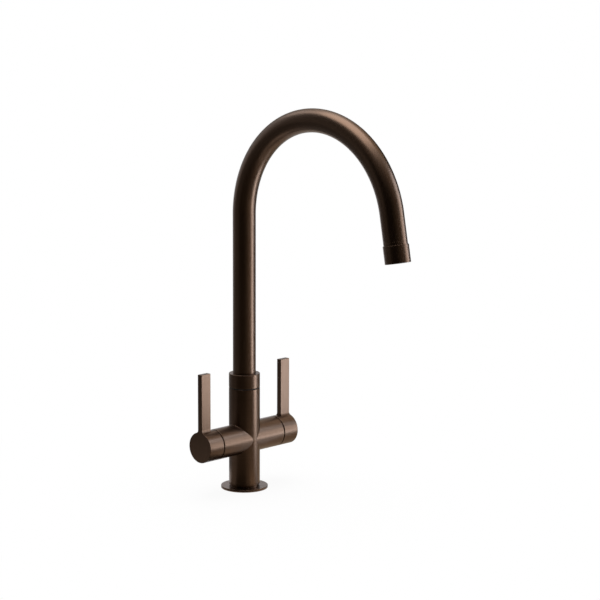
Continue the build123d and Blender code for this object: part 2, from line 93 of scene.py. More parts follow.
class Socket:
    """One output of a shader node. Arithmetic on it adds Math nodes."""

    def __init__(self, finish, output):
        self.finish, self.output = finish, output

    def math(self, operation, *values):
        inputs = dict(enumerate(values))
        return self.finish.node("ShaderNodeMath", {"operation": operation}, inputs)

    def __add__(self, other):
        return self.math("ADD", self, other)

    def __sub__(self, other):
        return self.math("SUBTRACT", self, other)

    def __rsub__(self, other):
        return self.math("SUBTRACT", other, self)

    def __mul__(self, other):
        return self.math("MULTIPLY", self, other)

    def __truediv__(self, other):
        return self.math("DIVIDE", self, other)

    def __rtruediv__(self, other):
        return self.math("DIVIDE", other, self)

    def __pow__(self, other):
        return self.math("POWER", self, other)

    __radd__, __rmul__ = __add__, __mul__


class Finish:
    """A material being made, or the world."""

    def __init__(self, name, owner=None):
        self.owner = owner or bpy.data.materials.new(name)
        self.owner.use_nodes = True
        self.tree = self.owner.node_tree
        self.tree.nodes.clear()

    def node(self, kind, settings=None, inputs=None, output=0):
        """Adds a node: its settings first, then the value or link of each input."""
        node = self.tree.nodes.new(kind)
        for name, value in (settings or {}).items():
            setattr(node, name, value)
        for name, value in (inputs or {}).items():
            if isinstance(value, Socket):
                self.tree.links.new(value.output, node.inputs[name])
            else:
                node.inputs[name].default_value = value
        return Socket(self, node.outputs[output])

    def blend(self, factor, first, second):
        """A colour between two others."""
        return self.node("ShaderNodeMix", {"data_type": "RGBA"}, {0: factor, 6: first, 7: second}, 2)

    def noise(self, place, scale, detail):
        """Cloudy noise, with so many clouds to the metre."""
        inputs = {"Vector": place, "Scale": scale, "Detail": detail}
        return self.node("ShaderNodeTexNoise", inputs=inputs)

    def surface(self, shader):
        """Ends the material, or the world, in its shader, and returns it."""
        kind = "World" if isinstance(self.owner, bpy.types.World) else "Material"
        output = self.tree.nodes.new("ShaderNodeOutput" + kind)
        self.tree.links.new(shader.output, output.inputs["Surface"])
        return self.owner

    def front_surface(self, shader):
        """Ends the material in a shader that only the front of a sheet has. The back is clear."""
        behind = self.node("ShaderNodeNewGeometry", output="Backfacing")
        clear = self.node("ShaderNodeBsdfTransparent", inputs={"Color": (1, 1, 1, 1)})
        return self.surface(self.node("ShaderNodeMixShader", inputs={0: behind, 1: shader, 2: clear}))


def showing_rays(finish):
    """1 for the rays that show the background: those of the camera, of gloss and of glass."""
    camera_ray, gloss_ray, glass_ray = (
        finish.node("ShaderNodeLightPath", output=name)
        for name in ("Is Camera Ray", "Is Glossy Ray", "Is Transmission Ray")
    )
    return camera_ray.math("MAXIMUM", camera_ray.math("MAXIMUM", camera_ray, gloss_ray), glass_ray)


room = Finish("room", bpy.data.worlds.new("room"))
fill = room.node("ShaderNodeBackground", inputs={"Color": (1, 1, 1, 1), "Strength": room_fill})
shown = room.node("ShaderNodeBackground", inputs={"Color": (1, 1, 1, 1), "Strength": 1.0})
mixed = room.node("ShaderNodeMixShader", inputs={0: showing_rays(room), 1: fill, 2: shown})
scene.world = room.surface(mixed)
scene.view_settings.view_transform = "Standard"


def stage_sheet(name, start, stop, profile, material):
    """A sheet that isn't part of the object: a line of (radius, height), turned between two azimuths."""
    rows = len(profile)
    mesh = bpy.data.meshes.new(name)
    points, faces = [], []
    for step in range(sheet_steps + 1):
        angle = radians(start + (stop - start) * step / sheet_steps)
        points += [towards(angle, radius, height) for radius, height in profile]
    for step in range(sheet_steps):
        for corner in range(step * rows, (step + 1) * rows - 1):
            faces.append((corner, corner + 1, corner + rows + 1, corner + rows))
    mesh.from_pydata(points, [], faces)
    mesh.materials.append(material)
    sheet = bpy.data.objects.new(name, mesh)
    scene.collection.objects.link(sheet)
    return sheet


def white_table():
    """White paper, as bright as the room where it's seen, apart from a soft shadow at the faucet."""
    finish = Finish("white_table")
    place = finish.node("ShaderNodeTexCoord", output="Object")
    from_faucet = finish.node("ShaderNodeVectorMath", {"operation": "LENGTH"}, {0: place}, "Value")
    near = finish.node(
        "ShaderNodeMapRange",
        {"interpolation_type": "SMOOTHSTEP"},
        {
            "Value": from_faucet,
            "From Min": shadow_reach,
            "From Max": shadow_start,
            "To Min": 0.0,
            "To Max": shadow_share,
        },
    )
    paper = finish.node("ShaderNodeBsdfDiffuse", inputs={"Color": (1, 1, 1, 1)})
    bare = finish.node("ShaderNodeEmission", inputs={"Color": (1, 1, 1, 1), "Strength": 1.0})
    lit = 1 - showing_rays(finish) * (1 - near)
    return finish.front_surface(finish.node("ShaderNodeMixShader", inputs={0: lit, 1: bare, 2: paper}))


stage_sheet("table", 0, 360, [(0.0, 0.0), (table_reach, 0.0)], white_table())


def card(name, start, stop, profile, glow, tint):
    """A lit card that only reflections show, and only from its front."""
    finish = Finish(name)
    colour = tuple(glow * part for part in tint) + (1,)
    glowing = finish.node("ShaderNodeEmission", inputs={"Color": colour, "Strength": 1.0})
    material = finish.front_surface(glowing)
    material.cycles.emission_sampling = "NONE"
    sheet = stage_sheet(name, start, stop, profile, material)
    sheet.visible_camera = sheet.visible_diffuse = sheet.visible_shadow = False
    sheet.visible_transmission = False


warm, pale, white, cool = (1, 0.83, 0.62), (1, 0.94, 0.86), (1, 1.04, 1.08), (1, 1.16, 1.36)
table_rings = [(radius, card_lift) for radius in (0.026, 0.08, 0.27, 0.7, card_reach)]
wall_rings = [(card_reach, height) for height in (0.0, 1.0, 2.0, 5.0)]

# Each sector of cards has two azimuths, a tint, and its glows: outwards on the table's rings, then
# upwards on the wall's.
for name, start, stop, tint, on_table, on_wall in (
    ("left", -148, -100, pale, (0.28, 0.26, 0.11, 0.09), (0.14, 0.12, 0.08)),
    ("near", -100, -32, warm, (0.05, 0.13, 0.05, 0.05), (0.01, 0.01, 0.12)),
    ("near_right", -32, -8, warm, (0.22, 0.24, 0.12, 0.12), (0.05, 0.05, 0.12)),
    ("front", -8, 33, warm, (0.60, 0.34, 0.12, 0.38), (0.14, 0.14, 0.30)),
    ("right_front", 33, 44, white, (0.50, 1.00, 4.10, 4.40), (0.90, 1.35, 0.70)),
    ("right_side", 44, 54, cool, (0.50, 1.00, 4.50, 4.50), (1.20, 1.35, 0.70)),
    ("side", 54, 115, warm, (0.60, 0.50, 0.30, 0.09), (0.05, 0.05, 0.65)),
    ("back", 115, 165, pale, (0.90, 0.60, 0.60, 0.60), (0.18, 0.32, 0.70)),
    ("far_back", 165, 196, white, (0.90, 0.24, 0.18, 0.18), (0.50, 0.50, 1.70)),
    ("far_left", 196, 212, white, (0.90, 0.24, 0.18, 0.18), (0.50, 0.40, 0.20)),
):
    for part, line, glows in (("table", table_rings, on_table), ("wall", wall_rings, on_wall)):
        for level, glow in enumerate(glows):
            card(f"{name}_{part}_{level}", start, stop, line[level:level + 2], glow, tint)

# Single boards: a strip beside the soft box, two low sloping ones that the inside of the spout's
# bend mirrors, one at the height of the bend, and a low one behind the faucet.
card("strip_board", 55, 68, [(2.7, 0.0), (2.7, 1.0)], 3.0, cool)
card("inner_bend_board", -104, 5, [(0.09, 0.07), (0.2, 0.004)], 0.5, pale)
card("inner_crown_board", -128, -104, [(0.04, 0.1), (0.2, 0.004)], 0.9, (1, 0.96, 0.92))
card("bend_board", 36, 56, [(0.6, 0.42), (0.6, 0.64)], 3.1, cool)
card("low_white_board", 108, 172, [(0.9, card_lift), (0.9, 0.36)], 0.9, (1, 1.03, 1.08))


def soft_box(name, place, target, width, height, radiance, tint=(1, 1, 1)):
    """A rectangular lamp that shines from one place towards another, all in metres."""
    lamp = bpy.data.lights.new(name, "AREA")
    lamp.shape, lamp.size, lamp.size_y = "RECTANGLE", width, height
    lamp.energy = radiance * pi * width * height
    lamp.color = tint
    box = bpy.data.objects.new(name, lamp)
    scene.collection.objects.link(box)
    aim = (place - target).to_track_quat("Z", "Y").to_matrix().to_4x4()
    box.matrix_world = Matrix.Translation(place) @ aim


key_place = towards(radians(key_azimuth), key_distance, key_height / 2 + key_lift)
key_target, key_tint = Vector((0, 0, key_place.z)), (1, 0.96, 0.90)
top_target = Vector((top_place.x, top_place.y, 0))
soft_box("key_soft_box", key_place, key_target, key_width, key_height, key_radiance, key_tint)
soft_box("top_soft_box", top_place, top_target, top_width, top_width, top_radiance)

# ---- Base flange ---------------------------------------------------------------------------------
# A thin turned disc under the barrel, which covers the tap hole. It is brass with a dark bronze
# coating, brushed round after round, and its top edge is broken by a small radius.

corner_steps = 4
corner_support = 0.35                 # from a rounding's end to the point that keeps the side flat
weld, crease_angle = 0.001, radians(35)
end_facing = 0.72                     # a face is an end if its normal has this much along the axis


def on_circle(radius, angle):
    """A point on a circle, from its centre."""
    return radius * cos(angle), radius * sin(angle)


def fan(first, last, spread, steps):
    """The spokes of an arc, evenly spaced from one to another that stands a spread away."""
    shares = [step / steps for step in range(steps + 1)]
    return [
        (first * sin((1 - share) * spread) + last * sin(share * spread)) / sin(spread)
        for share in shares
    ]


def arc_corner(before, corner, after, radius):
    """The points that round one corner of an outline, with a point just outside each end of the arc."""
    incoming, outgoing = (before - corner), (after - corner)
    reach_in, reach_out = incoming.length, outgoing.length
    incoming, outgoing = incoming / reach_in, outgoing / reach_out
    half = incoming.angle(outgoing) / 2
    setback = radius / tan(half)
    centre = corner + (incoming + outgoing).normalized() * radius / sin(half)
    support = setback + min(corner_support, (min(reach_in, reach_out) - setback) / 3)
    start, end = corner + incoming * setback - centre, corner + outgoing * setback - centre
    arc = [centre + spoke for spoke in fan(start, end, pi - 2 * half, corner_steps)]
    return [corner + incoming * support] + arc + [corner + outgoing * support]


def rounded(outline):
    """An outline of (radius, height) or (radius, height, corner radius), with its corners rounded."""
    corners = [Vector(point[:2]) for point in outline]
    points = []
    for index, point in enumerate(outline):
        before, corner, after = corners[index - 1], corners[index], corners[(index + 1) % len(corners)]
        if len(point) == 3:
            points += arc_corner(before, corner, after, point[2])
        else:
            points.append(corner)
    return points


def lay_brush(data, brush):
    """Stores the distance across the brush lines, in metres, on each corner of each face."""
    across = data.attributes.new("across", "FLOAT", "CORNER")
    for face in data.polygons:
        for corner in face.loop_indices:
            place = data.vertices[data.loops[corner].vertex_index].co
            across.data[corner].value = brush(face, place) * MM


def finished(name, mesh, material, brush):
    """Makes a piece of a bmesh in millimetres: welded, facing outwards, smooth over its roundings.

    The brush is a function of a face and a corner's place, which gives the distance across the
    brush lines in millimetres. The bronze reads it as the attribute across.
    """
    bmesh.ops.remove_doubles(mesh, verts=mesh.verts, dist=weld)
    bmesh.ops.dissolve_degenerate(mesh, edges=mesh.edges, dist=weld / 10)
    bmesh.ops.recalc_face_normals(mesh, faces=mesh.faces)
    for face in mesh.faces:
        face.smooth = True
    data = bpy.data.meshes.new(name)
    mesh.to_mesh(data)
    mesh.free()
    data.set_sharp_from_angle(angle=crease_angle)
    lay_brush(data, brush)
    data.transform(Matrix.Scale(MM, 4))
    data.materials.append(material)
    piece = bpy.data.objects.new(name, data)
    scene.collection.objects.link(piece)
    return piece


def turned_brush(place):
    """The brush of a turned piece: rings round its axis on the side, and about its centre on the ends."""
    axis = (place.to_3x3() @ Vector((0, 0, 1))).normalized()
    foot = place.translation

    def brush(face, corner):
        height = (corner - foot).dot(axis)
        if abs(face.normal.dot(axis)) > end_facing:
            return (corner - foot - axis * height).length
        return height

    return brush


def add_skin(mesh, rings):
    """Joins each ring of vertices to the next by a band of faces."""
    for first, second in zip(rings, rings[1:]):
        for index in range(len(first)):
            after = (index + 1) % len(first)
            mesh.faces.new((first[index], first[after], second[after], second[index]))


def turned(name, outline, material, place=Matrix(), segments=128):
    """A piece turned about the Z axis of a place, from its closed outline in millimetres."""
    mesh = bmesh.new()
    angles = [2 * pi * step / segments for step in range(segments)]
    rings = []
    for radius, height in rounded(outline):
        points = [Vector((*on_circle(radius, angle), height)) for angle in angles]
        rings.append([mesh.verts.new(place @ point) for point in points])
    add_skin(mesh, rings + rings[:1])
    return finished(name, mesh, material, turned_brush(place))


def brushed_bronze():
    """Dark bronze coating over brushed brass: hairlines in three sizes, and a faint cloudiness."""
    finish = Finish("brushed_bronze")
    across = finish.node("ShaderNodeAttribute", {"attribute_name": "across"}, output="Fac")
    place = finish.node("ShaderNodeTexCoord", output="Object")

    def hairlines(width, length, detail):
        """Noise drawn out along the brush lines, width and length in millimetres."""
        scaled = {0: place, "Scale": 1 / (length * MM)}
        along = finish.node("ShaderNodeVectorMath", {"operation": "SCALE"}, scaled)
        return finish.node(
            "ShaderNodeTexNoise",
            {"noise_dimensions": "4D"},
            {"Vector": along, "W": across / (width * MM), "Scale": 1.0, "Detail": detail},
        )

    fine, medium, broad = hairlines(0.14, 9, 1.0), hairlines(0.5, 22, 2.0), hairlines(2.4, 60, 2.0)
    clouds = finish.noise(place, 28.0, 3.0)
    tone = 0.5 + (medium - 0.5) * 0.7 + (broad - 0.5) * 0.6 + (clouds - 0.5) * 0.5
    colour = finish.blend(tone, (0.125, 0.0795, 0.0555, 1), (0.172, 0.110, 0.078, 1))
    roughness = 0.32 + (fine - 0.5) * 0.10 + (medium - 0.5) * 0.08 + (clouds - 0.5) * 0.05
    height = fine * 0.4 + medium * 0.6
    bumped = finish.node("ShaderNodeBump", inputs={"Height": height, "Distance": 0.02 * MM, "Strength": 1.0})
    bronze = finish.node(
        "ShaderNodeBsdfPrincipled",
        inputs={"Base Color": colour, "Metallic": 1.0, "Roughness": roughness, "Normal": bumped},
    )
    return finish.surface(bronze)


bronze = brushed_bronze()
flange_radius, flange_thickness, flange_hole = 25.0, 2.5, 14.6
seal_groove_inner, seal_groove_outer, seal_groove_depth = 18.4, 22.6, 1.2
base_flange = turned(
    "flange",
    [
        (flange_hole, 0),
        (seal_groove_inner, 0),
        (seal_groove_inner, seal_groove_depth),
        (seal_groove_outer, seal_groove_depth),
        (seal_groove_outer, 0),
        (flange_radius, 0, 0.2),
        (flange_radius, flange_thickness, 0.25),
        (flange_hole, flange_thickness, 0.1),
    ],
    bronze,
    segments=192,
)
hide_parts("base_flange")
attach(base_flange, "tap")

# ---- Tap body ------------------------------------------------------------------------------------
# One hollow brass casting: the upright barrel, crossed by the two valve arms. Both are turned and
# brushed round and round, and the inside edge where they meet is left almost sharp.

barrel_radius, barrel_foot, barrel_top = 16.5, 4.3, 108.8
arm_radius, arm_height, arm_reach = 16.3, 54.0, 44.1
join_radius, join_support = 0.4, 0.3
edge_radius = 0.3
neck_radius, spigot_radius, spigot_foot = 15.6, 14.5, 0.3
socket_radius, socket_floor = 13.0, 76.0
block_bore_radius, block_bore_top = 13.0, 14.0
valve_pocket_radius, valve_pocket_floor = 12.8, 38.1
valve_bore_radius, valve_seat = 10.3, 12.1
retaining_hole_radius, retaining_hole_height = 2.5, 92.0
arm_columns, strip_steps = 128, 7     # faces round an arm, and between the arms on the barrel
arm_rows, upper_rows, lower_rows = (32.0, 20.0), (74.0, 88.0, 96.0), (34.0, 20.0)
drill_sides = 48
drill_overrun = 1                     # how far a drill reaches past the wall that it cuts
barrel_end_facing, arm_end_facing = 0.9, 0.7
clear_of_arm = 1                      # past that, a level face belongs to the barrel's ends


def arm_place(side):
    """The frame of the hot arm, side -1, or the cold arm, side 1: its Z axis points outwards."""
    outwards = Matrix(((0, 0, side, 0), (1, 0, 0, 0), (0, 1, 0, 0), (0, 0, 0, 1)))
    return Matrix.Translation((0, 0, arm_height)) @ outwards


def plain_mesh(thing):
    """The mesh that an object's modifiers make of it."""
    evaluated = thing.evaluated_get(bpy.context.evaluated_depsgraph_get())
    return bpy.data.meshes.new_from_object(evaluated)


def drilled(piece, drill):
    """A bmesh with another cut out of it, before it has a material or a brush."""
    things = []
    for mesh in (piece, drill):
        thing = bpy.data.objects.new("blank", bpy.data.meshes.new("blank"))
        bmesh.ops.recalc_face_normals(mesh, faces=mesh.faces)
        mesh.to_mesh(thing.data)
        scene.collection.objects.link(thing)
        things.append(thing)
    boolean = things[0].modifiers.new("drill", "BOOLEAN")
    boolean.operation, boolean.solver, boolean.object = "DIFFERENCE", "EXACT", things[1]
    piece.clear()
    piece.from_mesh(plain_mesh(things[0]))
    drill.free()
    for thing in things:
        bpy.data.objects.remove(thing)
    return piece


def rod(radius, start, end):
    """A bmesh rod between two points, in millimetres."""
    start, end = Vector(start), Vector(end)
    mesh = bmesh.new()
    turn = (end - start).to_track_quat("Z", "Y").to_matrix().to_4x4()
    bmesh.ops.create_cone(
        mesh,
        cap_ends=True,
        segments=drill_sides,
        radius1=radius,
        radius2=radius,
        depth=(end - start).length,
        matrix=Matrix.Translation((start + end) / 2) @ turn,
    )
    return mesh


def add_join(mesh, side, angles):
    """One arm's outside, and the rounding where it meets the barrel.

    Returns the ring of (angle about the barrel, height) at which the barrel's own skin begins.
    """
    columns = []
    barrel_line = []
    for angle in angles:
        across, rise = sin(angle), cos(angle)
        centre = Vector((0, (arm_radius + join_radius) * across, (arm_radius + join_radius) * rise))
        centre.x = sqrt((barrel_radius + join_radius) ** 2 - centre.y ** 2)
        on_arm = Vector((centre.x, arm_radius * across, arm_radius * rise))
        on_barrel = Vector((centre.x, centre.y, 0)) * barrel_radius / (barrel_radius + join_radius)
        on_barrel.z = centre.z
        first, last = on_arm - centre, on_barrel - centre
        arm_line = [
            Vector((reach, arm_radius * across, arm_radius * rise))
            for reach in (arm_reach - edge_radius - corner_support, *arm_rows, centre.x + join_support)
        ]
        arc = fan(first, last, first.angle(last), corner_steps)
        columns.append(arm_line + [centre + spoke for spoke in arc])
        barrel_line.append((atan2(on_barrel.y, on_barrel.x), on_barrel.z))
    rings = [
        [mesh.verts.new((side * point.x, point.y, point.z + arm_height)) for point in row]
        for row in zip(*columns)
    ]
    add_skin(mesh, rings)
    return barrel_line


def add_arm_end(mesh, side, angles):
    """An arm's end face, the pocket for the valve's hexagon, and the bore that the valve screws into."""
    outline = rounded([
        (arm_radius, arm_reach - edge_radius - corner_support),
        (arm_radius, arm_reach, edge_radius),
        (valve_pocket_radius, arm_reach, 0.15),
        (valve_pocket_radius, valve_pocket_floor),
        (valve_bore_radius, valve_pocket_floor),
        (valve_bore_radius, valve_seat),
        (0, valve_seat),
    ])
    rings = []
    for radius, reach in outline:
        points = [(side * reach, radius * sin(angle), arm_height + radius * cos(angle)) for angle in angles]
        rings.append([mesh.verts.new(point) for point in points])
    add_skin(mesh, rings)


def tap_body_mesh():
    """The body as one welded skin, with its socket, its inlet bore and its valve bores.

    The barrel's skin starts from the cold arm's join, mirrored for the hot arm. Between the two
    joins it starts from a strip at the arms' height, at the back and at the front.
    """
    mesh = bmesh.new()
    angles = [2 * pi * column / arm_columns for column in range(arm_columns)]
    line = add_join(mesh, 1, angles)
    add_join(mesh, -1, angles)
    for side in (1, -1):
        add_arm_end(mesh, side, angles)
    quarter = arm_columns // 4
    upper = line[-quarter:] + line[:quarter + 1]
    lower = line[quarter:3 * quarter + 1][::-1]
    strip_start = upper[-1][0]
    strip_width = pi - 2 * strip_start
    strip = [(strip_start + strip_width * step / strip_steps, 0.0) for step in range(1, strip_steps)]

    # Up the barrel and down into its socket, then down to its foot and up into the inlet bore.
    top = rounded([
        *((barrel_radius, height) for height in upper_rows),
        (barrel_radius, barrel_top, 0.15),
        (socket_radius, barrel_top, 0.1),
        (socket_radius, socket_floor),
        (0, socket_floor),
    ])
    foot = rounded([
        *((barrel_radius, height) for height in lower_rows),
        (barrel_radius, barrel_foot, edge_radius),
        (neck_radius, barrel_foot),
        (neck_radius, flange_thickness),
        (spigot_radius, flange_thickness),
        (spigot_radius, spigot_foot),
        (block_bore_radius, spigot_foot),
        (block_bore_radius, block_bore_top),
        (0, block_bore_top),
    ])
    for half, outline in ((upper, top), (lower, foot)):
        far_half = [(pi - angle, rise) for angle, rise in reversed(half)]
        far_strip = [(angle + pi, rise) for angle, rise in strip]
        around = half + strip + far_half + far_strip
        edge = [(*on_circle(barrel_radius, angle), arm_height + rise) for angle, rise in around]
        rings = [[mesh.verts.new(point) for point in edge]]
        for radius, height in outline:
            circle = [(*on_circle(radius, angle), height) for angle, _ in around]
            rings.append([mesh.verts.new(point) for point in circle])
        add_skin(mesh, rings)
    bmesh.ops.remove_doubles(mesh, verts=mesh.verts, dist=weld)
    return mesh


def body_brush(face, corner):
    """Rings round the barrel and round each arm, and circles on the faces at their ends."""
    from_axis = hypot(corner.x, corner.y)
    from_arm_axis = hypot(corner.y, corner.z - arm_height)
    off_barrel = hypot(face.center.x, face.center.y) - barrel_radius
    off_arm = hypot(face.center.y, face.center.z - arm_height) - arm_radius
    if abs(face.normal.z) > barrel_end_facing and off_arm > clear_of_arm:
        return from_axis
    if off_barrel > off_arm:
        return abs(corner.x) if abs(face.normal.x) < arm_end_facing else from_arm_axis
    return corner.z


retaining_hole = rod(
    retaining_hole_radius,
    (0, socket_radius - drill_overrun, retaining_hole_height),
    (0, barrel_radius + drill_overrun, retaining_hole_height),
)
body_mesh = drilled(tap_body_mesh(), retaining_hole)
tap_body = finished("barrel_and_arms", body_mesh, bronze, body_brush)
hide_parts("tap_body")
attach(tap_body, "tap")

# ---- Swivel washer and glide rings ---------------------------------------------------------------
# Black acetal rings that keep metal off metal: one in the groove under the spout's collar, and one
# in the groove between each arm and its lever. Only their dark edges show.


def moulded_black():
    """Moulded black acetal, fine grained, a little glossy."""
    finish = Finish("black_acetal")
    place = finish.node("ShaderNodeTexCoord", output="Object")
    grain, flow = finish.noise(place, 3000.0, 2.0), finish.noise(place, 120.0, 3.0)
    colour = finish.blend(flow, (0.015, 0.014, 0.013, 1), (0.024, 0.022, 0.020, 1))
    bumped = finish.node("ShaderNodeBump", inputs={"Height": grain, "Distance": 0.01 * MM, "Strength": 0.6})
    acetal = finish.node(
        "ShaderNodeBsdfPrincipled",
        inputs={
            "Base Color": colour,
            "Roughness": 0.5 + (flow - 0.5) * 0.15,
            "Specular IOR Level": 0.2,
            "Normal": bumped,
        },
    )
    return finish.surface(acetal)


acetal = moulded_black()
washer_radius, washer_top = 15.6, 109.9
swivel_washer = turned(
    "swivel_ring",
    [
        (socket_radius, barrel_top),
        (washer_radius, barrel_top, 0.1),
        (washer_radius, washer_top, 0.1),
        (socket_radius, washer_top),
    ],
    acetal,
)
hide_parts("swivel_washer")
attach(swivel_washer, "tap")

glide_inner, glide_lip, glide_outer = 11.75, 12.75, 15.0
glide_lip_foot, glide_top = 42.4, 45.0
sides = {"hot": -1, "cold": 1}
for hand, side in sides.items():
    glide_ring = turned(
        f"{hand}_glide",
        [
            (glide_inner, glide_lip_foot),
            (glide_lip, glide_lip_foot),
            (glide_lip, arm_reach),
            (glide_outer, arm_reach, 0.15),
            (glide_outer, glide_top, 0.15),
            (glide_inner, glide_top),
        ],
        acetal,
        arm_place(side),
    )
    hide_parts(f"{hand}_glide_ring")
    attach(glide_ring, "tap")

# ---- Lever handles -------------------------------------------------------------------------------
# Each handle is milled from one brass bar: a round hub, flush with the arm, and a flat lever that
# rises from the hub's outer end on small root fillets. The lever is brushed along its length.

hub_face, hub_end = 45.3, 65.0
hub_edge = 0.35
lever_width, lever_thickness, lever_top = 13.0, 5.8, 77.8
root_fillet = 3.5
hub_bore_radius, hub_floor = 12.5, 53.0
adapter_radius, adapter_end = 7.0, 61.0
lever_screw_reach, lever_screw_radius = 57.0, 2.5

fillet_across = lever_thickness / 2 + root_fillet
fillet_up = sqrt((arm_radius + root_fillet) ** 2 - fillet_across ** 2)
root_angle = atan2(fillet_up, fillet_across)
edge_support, fillet_support = 0.4, 0.5
lever_rows = (30.0, 45.0, 60.0)
hub_steps, fillet_steps, top_steps, edge_steps, crown_steps = 60, 10, 3, 4, 24


def handle_outline(hub_shrink, blade_shrink):
    """The handle's outline seen from its end, as (across, up) from the arm's axis.

    It starts at the hub's bottom, goes up over a root fillet and the lever's side to its top, and
    comes down the other side. The hub's part and the lever's are each shrunk by their own amount.
    """
    half_hub = []
    for step in range(hub_steps + 1):
        angle = -pi / 2 + (root_angle + pi / 2) * step / hub_steps
        half_hub.append(on_circle(arm_radius - hub_shrink, angle))
    blade = []
    for step in range(1, fillet_steps + 1):
        share = step / fillet_steps
        shrink = hub_shrink + (blade_shrink - hub_shrink) * min(1.0, 3 * share)
        across, up = on_circle(root_fillet + shrink, pi + root_angle * (1 - share))
        blade.append((fillet_across + across, fillet_up + up))
    face = lever_thickness / 2 - blade_shrink
    top = lever_top - blade_shrink
    for height in (fillet_up + fillet_support, *lever_rows, top - hub_edge - edge_support):
        blade.append((face, height))
    for step in range(top_steps + 1):
        across, up = on_circle(hub_edge, pi / 2 * step / top_steps)
        blade.append((face - hub_edge + across, top - hub_edge + up))
    blade.append((face - hub_edge - edge_support, top))
    right_side = half_hub + blade
    left_side = [(-across, up) for across, up in reversed(right_side)][:-1]
    return right_side + left_side


def handle_mesh(side):
    """One handle as a closed, welded skin."""
    mesh = bmesh.new()
    place = arm_place(side)

    def ring(points, reach):
        return [mesh.verts.new(place @ Vector((across, up, reach))) for across, up in points]

    # The lever with the hub's outer end, from the lever's inner edge to the end face.
    lever_inner = hub_end - lever_width
    edge_angles = [pi / 2 * step / edge_steps for step in range(edge_steps + 1)]
    outline = handle_outline(0.0, 0.0)
    rings = []
    for angle in edge_angles:
        inner_edge = handle_outline(0.0, hub_edge * (1 - sin(angle)))
        rings.append(ring(inner_edge, lever_inner + hub_edge * (1 - cos(angle))))
    rings.append(ring(outline, lever_inner + hub_edge + edge_support))
    rings.append(ring(outline, hub_end - hub_edge - edge_support))
    for angle in edge_angles:
        shrink = hub_edge * (1 - cos(angle))
        rings.append(ring(handle_outline(shrink, shrink), hub_end - hub_edge + hub_edge * sin(angle)))
    end_shrink = hub_edge + edge_support
    rings.append(ring(handle_outline(end_shrink, end_shrink), hub_end))
    add_skin(mesh, rings)
    mesh.faces.new(rings[-1])

    # The lever's inner face, which stands on the hub's crown.
    crown_spread = pi - 2 * root_angle
    crown_angles = [root_angle + crown_spread * step / crown_steps for step in range(1, crown_steps)]
    crown = [on_circle(arm_radius, angle) for angle in crown_angles]
    inner_rim = ring(handle_outline(0.0, end_shrink), lever_inner)
    add_skin(mesh, [inner_rim, rings[0]])
    above_hub = inner_rim[hub_steps:len(inner_rim) - hub_steps + 1]
    mesh.faces.new(above_hub + ring(reversed(crown), lever_inner))

    # The rest of the hub, and its bore.
    circle = outline[:hub_steps + 1] + crown + outline[len(outline) - hub_steps:]
    angles = [atan2(up, across) for across, up in circle]
    hub_profile = rounded([
        (arm_radius, lever_inner),
        (arm_radius, hub_face, edge_radius),
        (hub_bore_radius, hub_face, 0.2),
        (hub_bore_radius, hub_floor),
        (adapter_radius, hub_floor),
        (adapter_radius, adapter_end),
        (0, adapter_end),
    ])
    hub_rings = []
    for radius, reach in hub_profile:
        hub_rings.append(ring([on_circle(radius, angle) for angle in angles], reach))
    add_skin(mesh, hub_rings)
    bmesh.ops.remove_doubles(mesh, verts=mesh.verts, dist=weld)
    return mesh


def handle_brush(face, corner):
    """Rings round the hub and lines along the lever, both spaced along X. The end is brushed upright."""
    return corner.y if abs(face.normal.x) > end_facing else abs(corner.x)


for hand, side in sides.items():
    screw_x = side * lever_screw_reach
    screw_hole = rod(
        lever_screw_radius,
        (screw_x, 0, arm_height - arm_radius - drill_overrun),
        (screw_x, 0, arm_height - adapter_radius + drill_overrun),
    )
    handle = finished(f"{hand}_handle", drilled(handle_mesh(side), screw_hole), bronze, handle_brush)
    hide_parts(f"{hand}_lever_handle")
    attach(handle, f"{hand}_lever")

# ---- Spout collar --------------------------------------------------------------------------------
# A turned brass ring over the head of the spout's tail, flush with the barrel and coated like it.
# The swivel washer keeps it just off the barrel, and the tube comes out of its top.

collar_foot, collar_top = 110.0, 124.7
tail_head_radius, tail_head_top = 14.05, 121.1
tube_seat_radius = 12.2
collar = turned(
    "collar",
    [
        (tail_head_radius, collar_foot),
        (barrel_radius, collar_foot, 0.15),
        (barrel_radius, collar_top, 0.4),
        (tube_seat_radius, collar_top, 0.1),
        (tube_seat_radius, tail_head_top),
        (tail_head_radius, tail_head_top),
    ],
    bronze,
)
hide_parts("spout_collar")
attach(collar, "spout")

# ---- Spout tube ----------------------------------------------------------------------------------
# One brass tube, bent cold to a round arch of 169.6 degrees and brushed before it is coated. Its
# lower end is soldered into the tail, and the nozzle is pressed over its mouth.

tube_radius, tube_wall = 12.15, 1.2
tube_foot, bend_foot = 112.0, 294.7
bend_radius, bend_angle = 104.3, radians(169.6)
outlet_length = 48.1
tube_short = 21.5                     # from the mouth back to where the bent tube ends in its sleeve


